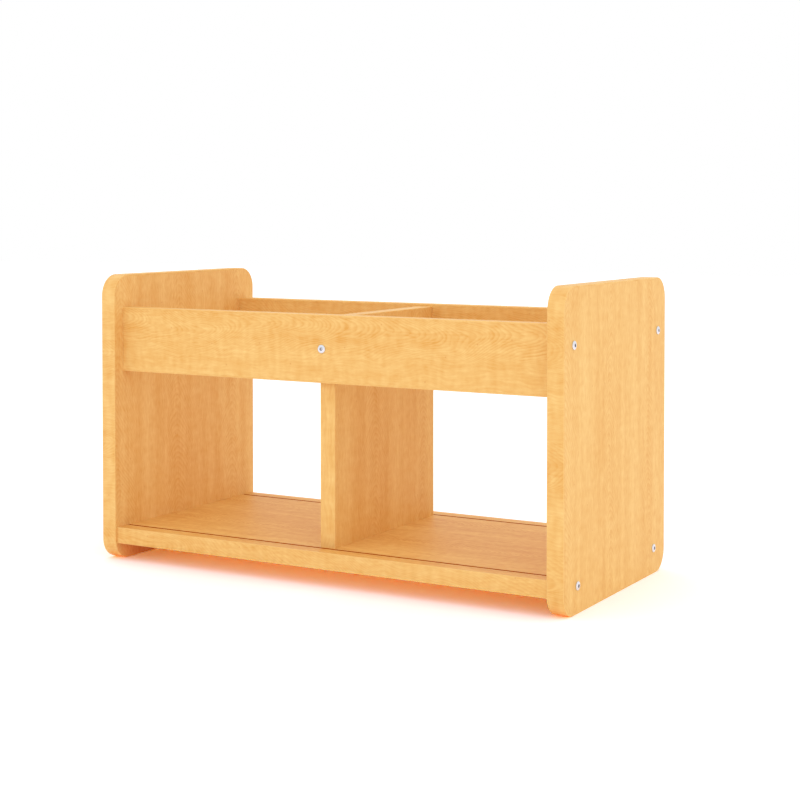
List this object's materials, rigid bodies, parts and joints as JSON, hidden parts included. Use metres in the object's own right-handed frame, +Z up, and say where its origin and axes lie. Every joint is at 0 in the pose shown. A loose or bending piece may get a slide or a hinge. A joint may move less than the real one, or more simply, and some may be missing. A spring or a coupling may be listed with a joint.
{
  "type": "toy storage unit",
  "caption": "Low open toy storage unit: round-cornered end panels carry a grooved base, top rails at front and rear, and a centre divider, all held by socket screws.",
  "frame": {"origin": "on the floor, under the middle of the unit", "axes": "+X along the unit towards its right end as seen from the front, -Y to the front, +Z up"},
  "size_m": [0.6048, 0.286, 0.34],
  "materials": {
    "maple_laminate": "satin printed maple laminate",
    "maple_edge_band": "satin maple edge band, eased",
    "bright_zinc": "bright zinc plate",
    "plain_beech": "bare wood"
  },
  "bodies": {
    "root": {"left_end_panel": "maple_laminate", "right_end_panel": "maple_laminate", "front_top_rail": "maple_laminate", "rear_top_rail": "maple_laminate", "base_board": "maple_laminate", "centre_divider": "maple_laminate", "left_end_edge_band": "maple_edge_band", "right_end_edge_band": "maple_edge_band", "front_rail_top_band": "maple_edge_band", "front_rail_bottom_band": "maple_edge_band", "rear_rail_top_band": "maple_edge_band", "rear_rail_bottom_band": "maple_edge_band", "base_front_band": "maple_edge_band", "base_rear_band": "maple_edge_band", "divider_front_band": "maple_edge_band", "divider_rear_band": "maple_edge_band", "divider_top_band": "maple_edge_band", "left_front_rail_screw": "bright_zinc", "left_rear_rail_screw": "bright_zinc", "left_front_base_screw": "bright_zinc", "left_rear_base_screw": "bright_zinc", "right_front_rail_screw": "bright_zinc", "right_rear_rail_screw": "bright_zinc", "right_front_base_screw": "bright_zinc", "right_rear_base_screw": "bright_zinc", "front_divider_screw": "bright_zinc", "rear_divider_screw": "bright_zinc", "front_divider_foot_screw": "bright_zinc", "rear_divider_foot_screw": "bright_zinc", "left_front_rail_dowel": "plain_beech", "left_rear_rail_dowel": "plain_beech", "right_front_rail_dowel": "plain_beech", "right_rear_rail_dowel": "plain_beech"}
  },
  "joints": []
}
